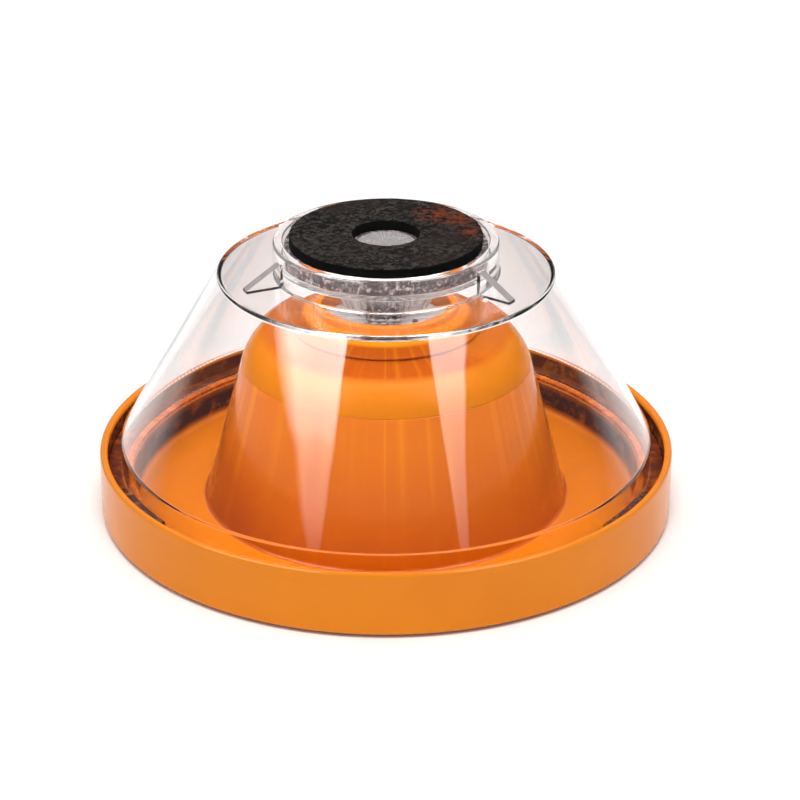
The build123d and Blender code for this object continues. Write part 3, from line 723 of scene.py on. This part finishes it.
def build_lens():
    """Clear cone with a skirt, a flat top, a platform and collar for the magnet, finger ribs and lugs."""
    stem_hole = STEM_RADIUS + 0.05 * MM
    plate_bottom = PLATE_TOP - LENS_WALL
    skirt_inner = LENS_RADIUS - LENS_WALL
    inner_bend = LENS_BEND - LENS_WALL * (1 / math.cos(LENS_SLOPE) - 1) / math.tan(LENS_SLOPE)
    outline = rounded([
        (LENS_RADIUS, LENS_BOTTOM, 0.3 * MM),
        (LENS_RADIUS, LENS_BEND, 0.7 * MM),
        (SHOULDER_RADIUS, PLATE_TOP, 0.5 * MM),
        (COLLAR_RADIUS, PLATE_TOP, 0.5 * MM),
        (COLLAR_RADIUS, COLLAR_TOP, 0.6 * MM),
        (COLLAR_INNER, COLLAR_TOP, 0.4 * MM),
        (COLLAR_INNER, PLATFORM_TOP, 0.2 * MM),
        (stem_hole, PLATFORM_TOP),
        (stem_hole, PLATFORM_BOTTOM),
        (COLLAR_INNER, PLATFORM_BOTTOM, 0.3 * MM),
        (COLLAR_INNER, plate_bottom, 0.3 * MM),
        (lens_radius(plate_bottom, LENS_WALL), plate_bottom, 0.5 * MM),
        (skirt_inner, inner_bend, 0.7 * MM),
        (skirt_inner, LENS_BOTTOM, 0.3 * MM),
    ])
    lens = lathe("clear_lens", outline, FINE_ROUND)
    extras = [build_grip_rib(angle) for angle in RIB_ANGLES]
    for angle in BAYONET_ANGLES:
        lug = sector(LENS_RADIUS - 0.8 * MM, LUG_RADIUS, angle, 14)
        extras.append(prism("lug", lug, LUG_BOTTOM, LUG_TOP))
    combine(lens, extras, "UNION")
    put(lens, CLEAR, "lens", "lens_shell")
    frost_ribs(lens)
    lens.visible_shadow = False


def frost_ribs(lens):
    """The sloping backs of the finger ribs are frosted."""
    lens.data.materials.append(FROST)
    slope = math.atan2(RIB_REACH - COLLAR_RADIUS, RIB_TOP - RIB_TIP)
    for angle in RIB_ANGLES:
        turn = math.radians(angle)
        outward = Vector((math.cos(turn), math.sin(turn), 0))
        back = outward * math.cos(slope) + Vector((0, 0, math.sin(slope)))
        for face in lens.data.polygons:
            beside = abs(face.center.x * math.sin(turn) - face.center.y * math.cos(turn))
            beyond = face.center.dot(outward) > COLLAR_RADIUS and face.center.z > PLATE_TOP + 0.2 * MM
            if beyond and beside < RIB_HALF and face.normal.dot(back) > 0.97:
                face.material_index = 1


def build_grip_rib(angle):
    """A finger rib: an upright web from the collar, sloping down to the top plate."""
    root = COLLAR_RADIUS - 0.8 * MM
    under = PLATE_TOP - 0.5 * MM
    side = rounded([
        (root, under),
        (root, RIB_TOP),
        (COLLAR_RADIUS + 0.4 * MM, RIB_TOP, 0.2 * MM),
        (RIB_REACH, RIB_TIP, 0.2 * MM),
        (RIB_REACH, under),
    ], 3)
    turn = math.radians(angle)
    bm = bmesh.new()
    faces = []
    for offset in (-RIB_HALF, RIB_HALF):
        faces.append([
            bm.verts.new((
                r * math.cos(turn) - offset * math.sin(turn),
                r * math.sin(turn) + offset * math.cos(turn),
                z,
            ))
            for r, z in side
        ])
    bm.faces.new(faces[0])
    bm.faces.new(faces[1])
    for i in range(len(side)):
        j = (i + 1) % len(side)
        bm.faces.new((faces[0][i], faces[0][j], faces[1][j], faces[1][i]))
    return finish_mesh(bm, "rib")


# ---------------------------------------------------------------- reflector, magnet, pad
REFLECTOR_TOP = 13.2 * MM
REFLECTOR_FOOT = 8.0 * MM
MAGNET_BORE = 6.6 * MM
PAD_BORE = 6.8 * MM
AIR_GAP = 0.05 * MM      # between the magnet and its platform, so that the clear plate has a surface there


def build_reflector():
    """Fluted cone hanging from the lens's platform, hollow over the LED, with a stem through the magnet."""
    bottom = low("fluted_reflector", Z)
    flutes = 24
    flute_depth = 0.10
    rows = 16
    hollow_top = 48.4 * MM
    hollow_crown = 3.4 * MM
    hollow_mouth = 5.8 * MM

    def flute(angle, r, z):
        if r < 0.8 * REFLECTOR_FOOT or z >= PLATFORM_BOTTOM - 1e-6:
            return r, z
        dip = 0.5 - 0.5 * math.cos(flutes * angle)
        return r * (1 - flute_depth * dip ** 0.7), z

    outline = [
        (0, hollow_top),
        (hollow_crown, hollow_top),
        (hollow_mouth, bottom + 0.1 * MM),
        (hollow_mouth + 0.2 * MM, bottom),
        (REFLECTOR_FOOT * 0.98, bottom),
    ]
    for i in range(rows + 1):
        share = i / rows
        outline.append((
            REFLECTOR_FOOT + (REFLECTOR_TOP - REFLECTOR_FOOT) * share,
            bottom + 0.2 * MM + (PLATFORM_BOTTOM - bottom - 0.25 * MM) * share,
        ))
    outline += [
        (REFLECTOR_TOP * 0.89, PLATFORM_BOTTOM),
        (STEM_RADIUS, PLATFORM_BOTTOM),
        (STEM_RADIUS, STEM_TOP - 0.15 * MM),
        (STEM_RADIUS - 0.15 * MM, STEM_TOP),
        (STEM_RADIUS - 1.6 * MM, STEM_TOP - 0.1 * MM),
        (0, STEM_TOP - 0.6 * MM),
    ]
    cone = lathe("fluted_cone", outline, FINE_ROUND, flute, 40)
    put(cone, REFLECTOR, "lens", "fluted_reflector")
    cone.visible_shadow = False


def soften(piece):
    """Keep a piece from shading what lies below it."""
    piece.visible_shadow = False
    piece.visible_diffuse = False


def build_magnet():
    bottom = PLATFORM_TOP + AIR_GAP
    outline = rounded([
        (MAGNET_BORE, bottom, 0.2 * MM),
        (MAGNET_RADIUS, bottom, 0.25 * MM),
        (MAGNET_RADIUS, MAGNET_TOP, 0.25 * MM),
        (MAGNET_BORE, MAGNET_TOP, 0.2 * MM),
    ], 3)
    magnet = lathe("ring_magnet_body", outline)
    put(magnet, FERRITE, "lens", "ring_magnet")
    soften(magnet)


def build_pad():
    """Rubber pad: a cut ring whose edge is not quite even."""
    unevenness = 0.16 * MM
    top_dip = 0.03 * MM
    waves_round = 6.0
    rings = 10

    def cut(angle, r, z):
        place = Vector((math.cos(angle), math.sin(angle), 0.0)) * waves_round
        wave = noise.noise(place + Vector((0, 0, r * 40)))
        fine = noise.noise(place * 6.0)
        inward = unevenness * (wave + 0.5 * fine + 1.0)
        if r > 15 * MM:
            return r - inward, z - (top_dip * (wave + 1) if z > MAGNET_TOP + 0.8 * MM else 0)
        return r + inward, z

    outline = rounded([
        (PAD_BORE, MAGNET_TOP),
        (PAD_RADIUS, MAGNET_TOP),
        (PAD_RADIUS, PAD_TOP, 0.3 * MM),
    ], 5)
    span = PAD_RADIUS - PAD_BORE - 1.2 * MM
    outline += [(PAD_RADIUS - 0.6 * MM - span * i / rings, PAD_TOP) for i in range(rings + 1)]
    outline += [
        (PAD_BORE + 0.3 * MM, PAD_TOP),
        (PAD_BORE + 0.08 * MM, PAD_TOP - 0.1 * MM),
        (PAD_BORE, PAD_TOP - 0.3 * MM),
    ]
    pad = lathe("rubber_pad", outline, FINE_ROUND, cut)
    put(pad, PAD_RUBBER, "lens", "magnet_pad")
    soften(pad)


# ---------------------------------------------------------------- underside
HATCH_LUG_ANGLES = (30, 150, 270)
BEZEL_RADIUS = 7.0 * MM
BEZEL_BORE = 4.6 * MM
BEZEL_TOP = 1.7 * MM


def build_foot_ring():
    top = high("foot_ring", Z)
    outline = rounded([
        (FOOT_INNER, 0, 0.3 * MM), (FOOT_OUTER, 0, 0.3 * MM), (FOOT_OUTER, top), (FOOT_INNER, top),
    ], 4)
    ring = lathe("rubber_foot", outline)
    put(ring, FOOT_RUBBER, "base", "foot_ring")


def build_hatch():
    """Battery hatch: flange with a seal groove, hollow plug with lugs, and a boss round the plunger."""
    flange_top = 2.2 * MM
    plate_top = 2.9 * MM
    plug = 31.3 * MM
    lug_radius = 33.5 * MM
    lug_bottom = 4.0 * MM
    groove_outer = 33.2 * MM
    groove_inner = 32.2 * MM
    groove_floor = 1.4 * MM
    boss = 7.6 * MM
    bezel = BEZEL_RADIUS + 0.05 * MM
    guide = 2.2 * MM
    cap_room = 5.8 * MM
    cap_room_top = 4.3 * MM
    outline = rounded([
        (bezel, FLOOR_BOTTOM),
        (HATCH_RADIUS, FLOOR_BOTTOM, 0.4 * MM),
        (HATCH_RADIUS, flange_top, 0.1 * MM),
        (groove_outer, flange_top),
        (groove_outer, groove_floor),
        (groove_inner, groove_floor),
        (groove_inner, flange_top),
        (plug, flange_top),
        (plug, HATCH_TOP, 0.2 * MM),
        (plug - WALL, HATCH_TOP, 0.2 * MM),
        (plug - WALL, plate_top, 0.3 * MM),
        (boss, plate_top, 0.3 * MM),
        (boss, HATCH_TOP, 0.2 * MM),
        (guide, HATCH_TOP),
        (guide, cap_room_top),
        (cap_room, cap_room_top),
        (cap_room, BEZEL_TOP),
        (bezel, BEZEL_TOP),
    ], 4)
    hatch = lathe("hatch_cover", outline)
    lugs = []
    for angle in HATCH_LUG_ANGLES:
        lug = sector(plug - 0.8 * MM, lug_radius, angle, 18)
        lugs.append(prism("lug", lug, lug_bottom, HATCH_TOP))
    combine(hatch, lugs, "UNION")
    slots = [build_coin_slot(side) for side in (1, -1)]
    combine(hatch, slots, "DIFFERENCE")
    put(hatch, ORANGE, "hatch", "battery_hatch")


def build_coin_slot(side):
    """Cutter for a round-ended slot in the hatch's underside."""
    half_width = 1.5 * MM
    half_run = 6.0 * MM
    centre = side * 17.5 * MM
    outline = []
    for end in (1, -1):
        for i in range(13):
            angle = math.radians(-90 + 15 * i)
            x = centre + end * (half_run + half_width * math.cos(angle))
            outline.append((x, end * half_width * math.sin(angle)))
    return prism("slot", outline, FLOOR_BOTTOM - 1.0 * MM, FLOOR_BOTTOM + 1.2 * MM)


def build_button():
    """Rubber button with a flange behind its ring in the hatch."""
    face, flange_bottom, top = 1.2 * MM, 1.9 * MM, 2.7 * MM
    stem, flange = 4.4 * MM, 5.6 * MM
    outline = rounded([
        (0, face), (stem, face, 0.35 * MM), (stem, flange_bottom, 0.05 * MM),
        (flange, flange_bottom, 0.2 * MM), (flange, top, 0.2 * MM), (0, top),
    ], 4)
    button = lathe("button_rubber", outline, SMALL_ROUND)
    put(button, FOOT_RUBBER, "button", "button_cap")
    outline = rounded([
        (BEZEL_BORE, FLOOR_BOTTOM, 0.25 * MM), (BEZEL_RADIUS, FLOOR_BOTTOM, 0.15 * MM),
        (BEZEL_RADIUS, BEZEL_TOP), (BEZEL_BORE, BEZEL_TOP),
    ], 4)
    bezel = lathe("button_ring", outline, SMALL_ROUND)
    put(bezel, ORANGE, "hatch", "button_bezel")


# ---------------------------------------------------------------- CAD nodes that stay
CAD_LOOKS = {
    "cap_screws": STEEL,
    "led_screws": STEEL,
    "led_board": BOARD_SILVER,
    "led_emitter": CERAMIC,
    "led_dome": SILICONE,
    "led_leads": BLACK_PLASTIC,
    "lens_seal": SEAL_RUBBER,
    "hatch_seal": SEAL_RUBBER,
    "driver_board": BOARD_GREEN,
    "driver_chip": BLACK_PLASTIC,
    "driver_inductor": BLACK_PLASTIC,
    "driver_capacitor": CELL_JACKET,
    "tact_switch": BLACK_PLASTIC,
    "battery_holder": BLACK_PLASTIC,
    "battery_cells": CELL_JACKET,
    "battery_leads": INSULATION,
    "bridge_contact": CONTACTS,
    "terminal_contacts": CONTACTS,
    "button_plunger": BLACK_PLASTIC,
}


def dress_cad_nodes():
    """Give the CAD pieces that stay as they are their materials."""
    for node, material in CAD_LOOKS.items():
        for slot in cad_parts[node].material_slots:
            slot.material = material


# ---------------------------------------------------------------- stage, lights, camera
CAMERA_AIM = Vector((0, 0, 27.0 * MM))
CAMERA_ELEVATION = math.radians(24.72)
CAMERA_DISTANCE = 575.7 * MM
CAMERA_SENSOR = 36.0      # camera sizes in millimetres, as Blender has them
CAMERA_LENS = 124.2
CAMERA_SHIFT = (0.0175, -0.02275)
FLOOR_HALF = 3.0
FLOOR_PAPER = (0.93, 0.93, 0.93, 1)
WORLD_BRIGHT = 0.95
WORLD_DARK = 0.08
DARK_RING_AXIS = (0, 0.28, 1.0)
DARK_RING = (0.235, 0.455, 0.05)      # start, end and soft edge along the axis
DARK_SPOT_PLACE = (0, 0.9085, 0.418)
DARK_SPOT = (0.14, 0.20)              # full within the first distance, gone beyond the second
TOP_LIGHT_PLACE = Vector((0.0, -0.35, 1.05))
TOP_LIGHT_AIM = Vector((0, 0, 30.0 * MM))
TOP_LIGHT_SIZE = 0.4
TOP_LIGHT_POWER = 6.0


def build_floor():
    bm = bmesh.new()
    corners = [(-FLOOR_HALF, -FLOOR_HALF, 0), (FLOOR_HALF, -FLOOR_HALF, 0),
               (FLOOR_HALF, FLOOR_HALF, 0), (-FLOOR_HALF, FLOOR_HALF, 0)]
    bm.faces.new([bm.verts.new(corner) for corner in corners])
    mesh = bpy.data.meshes.new("floor")
    bm.to_mesh(mesh)
    bm.free()
    floor = bpy.data.objects.new("floor", mesh)
    bpy.context.scene.collection.objects.link(floor)
    material, _, shader = new_material("floor_paper")
    shader.inputs["Base Color"].default_value = FLOOR_PAPER
    shader.inputs["Roughness"].default_value = 0.9
    floor.data.materials.append(material)


def build_world():
    """White studio with two dark places that leave the lens clear.

    One is a tilted ring, which the lens's wall mirrors, and one a spot, which its flat top mirrors."""
    world = bpy.data.worlds.new("studio")
    bpy.context.scene.world = world
    tree = Tree(world)
    background = tree.nodes["Background"]
    background.inputs["Color"].default_value = (1, 1, 1, 1)
    across = tree.vector_math("DOT_PRODUCT", tree.where("Generated"), DARK_RING_AXIS)["Value"]
    ring = tree.band(across, *DARK_RING)
    gap = tree.vector_math("DISTANCE", tree.where("Generated"), DARK_SPOT_PLACE)["Value"]
    spot = tree.spread(gap, *DARK_SPOT, 1, 0)
    brightness = tree.spread(tree.math("MAXIMUM", ring, spot), 0, 1, WORLD_BRIGHT, WORLD_DARK)
    tree.links.new(brightness, background.inputs["Strength"])


def build_top_light():
    """One soft lamp high in front, which shines on the flare but isn't mirrored in it."""
    light = bpy.data.lights.new("top", "AREA")
    light.shape = "RECTANGLE"
    light.size = light.size_y = TOP_LIGHT_SIZE
    light.energy = TOP_LIGHT_POWER
    lamp = bpy.data.objects.new("top", light)
    lamp.location = TOP_LIGHT_PLACE
    lamp.rotation_euler = (TOP_LIGHT_AIM - TOP_LIGHT_PLACE).to_track_quat("-Z", "Y").to_euler()
    lamp.visible_glossy = False
    bpy.context.scene.collection.objects.link(lamp)


def build_camera():
    camera = bpy.data.cameras.new("camera")
    camera.sensor_width = CAMERA_SENSOR
    camera.lens = CAMERA_LENS
    camera.shift_x, camera.shift_y = CAMERA_SHIFT
    camera.clip_start = 0.01
    holder = bpy.data.objects.new("camera", camera)
    reach = Vector((0, -math.cos(CAMERA_ELEVATION), math.sin(CAMERA_ELEVATION))) * CAMERA_DISTANCE
    holder.location = CAMERA_AIM + reach
    holder.rotation_euler = (-reach).to_track_quat("-Z", "Y").to_euler()
    bpy.context.scene.collection.objects.link(holder)
    bpy.context.scene.camera = holder
    return holder


def mirrored_point(camera_place, azimuth, z, tilt, reach):
    """Where a panel must stand to be mirrored in the lens at an azimuth, a height and a wall tilt."""
    turn = math.radians(azimuth)
    outward = Vector((math.sin(turn), -math.cos(turn), 0))
    place = outward * lens_radius(z) + Vector((0, 0, z))
    normal = outward * math.cos(tilt) + Vector((0, 0, math.sin(tilt)))
    to_camera = (camera_place - place).normalized()
    bounce = 2 * normal.dot(to_camera) * normal - to_camera
    return place + bounce * reach


def glow_material(name):
    """Emission by the strength painted on the panel's corners."""
    material = bpy.data.materials.new(name)
    tree = Tree(material)
    tree.nodes.remove(tree.nodes["Principled BSDF"])
    light = tree.nodes.new("ShaderNodeEmission")
    strength = tree.nodes.new("ShaderNodeAttribute")
    strength.attribute_name = "glow"
    tree.links.new(strength.outputs["Fac"], light.inputs["Strength"])
    tree.links.new(light.outputs[0], tree.nodes["Material Output"].inputs["Surface"])
    return material


def build_catch_panel(name, camera_place, rows, reach=0.45):
    """A soft panel that only reflections see. Each row is (z, tilt, [(azimuth, strength), ...])."""
    bm = bmesh.new()
    glow = bm.verts.layers.float_color.new("glow")
    grid = []
    for z, tilt, columns in rows:
        line = []
        for azimuth, strength in columns:
            vert = bm.verts.new(mirrored_point(camera_place, azimuth, z * MM, tilt, reach))
            vert[glow] = (strength, strength, strength, 1)
            line.append(vert)
        grid.append(line)
    for upper, lower in zip(grid, grid[1:]):
        for i in range(len(upper) - 1):
            bm.faces.new((upper[i], upper[i + 1], lower[i + 1], lower[i]))
    mesh = bpy.data.meshes.new(name)
    bm.to_mesh(mesh)
    bm.free()
    mesh.materials.append(glow_material(name))
    panel = bpy.data.objects.new(name, mesh)
    bpy.context.scene.collection.objects.link(panel)
    panel.visible_camera = False
    panel.visible_diffuse = False
    panel.visible_shadow = False


def build_front_panels(camera_place):
    """Two tall soft panels before the lens, one on each side of the middle, fading towards their feet."""
    wall = LENS_SLOPE
    crown = math.radians(50)
    build_catch_panel("left_panel", camera_place, [
        (52.3, crown, [(-42, 0), (-38, 14), (-12.6, 14), (-12.2, 0)]),
        (52.2, wall, [(-40, 1.5), (-33, 10), (-12.6, 10), (-12.3, 0)]),
        (46, wall, [(-34, 1.4), (-28, 7.6), (-13.0, 7.6), (-12.7, 0)]),
        (41, wall, [(-30, 0.9), (-25.5, 6.6), (-13.1, 6.6), (-12.8, 0)]),
        (36, wall, [(-26, 0.6), (-23.2, 4.8), (-13.2, 4.8), (-12.9, 0)]),
        (33, wall, [(-23.5, 0.4), (-21.5, 3), (-13.2, 3), (-12.9, 0)]),
        (29, wall, [(-21.5, 0.3), (-20, 2.2), (-13.4, 2.2), (-13.1, 0)]),
        (22, wall, [(-19, 0.2), (-17.8, 1.6), (-13.4, 1.6), (-13.1, 0)]),
        (16, wall, [(-16.4, 0), (-15.6, 0.7), (-13.6, 0.7), (-13.3, 0)]),
    ])
    build_catch_panel("right_panel", camera_place, [
        (52.3, crown, [(8.0, 0), (9.0, 14), (38, 14), (40, 0)]),
        (52.2, wall, [(13.4, 0), (13.9, 6.4), (26.4, 6.4), (28, 0)]),
        (46, wall, [(13.7, 0), (14.2, 5), (23.2, 5), (24.2, 0)]),
        (41, wall, [(14.0, 0), (14.5, 3.6), (21.8, 3.6), (22.6, 0)]),
        (37, wall, [(14.1, 0), (14.6, 2.7), (20.5, 2.7), (21.2, 0)]),
        (32, wall, [(14.4, 0), (14.9, 2.2), (19.2, 2.2), (19.8, 0)]),
        (26, wall, [(14.7, 0), (15.2, 1.8), (18.1, 1.8), (18.6, 0)]),
        (16, wall, [(14.9, 0), (15.3, 1.0), (16.7, 1.0), (17.1, 0)]),
    ])


build_tray()
build_turret_cap()
build_lens()
build_reflector()
build_magnet()
build_pad()
build_foot_ring()
build_hatch()
build_button()
dress_cad_nodes()

build_floor()
build_world()
camera = build_camera()
build_top_light()
build_front_panels(camera.location)
bpy.context.scene.view_settings.view_transform = "Standard"
bpy.context.scene.cycles.max_bounces = 24
bpy.context.scene.cycles.glossy_bounces = 12
bpy.context.scene.cycles.transmission_bounces = 20
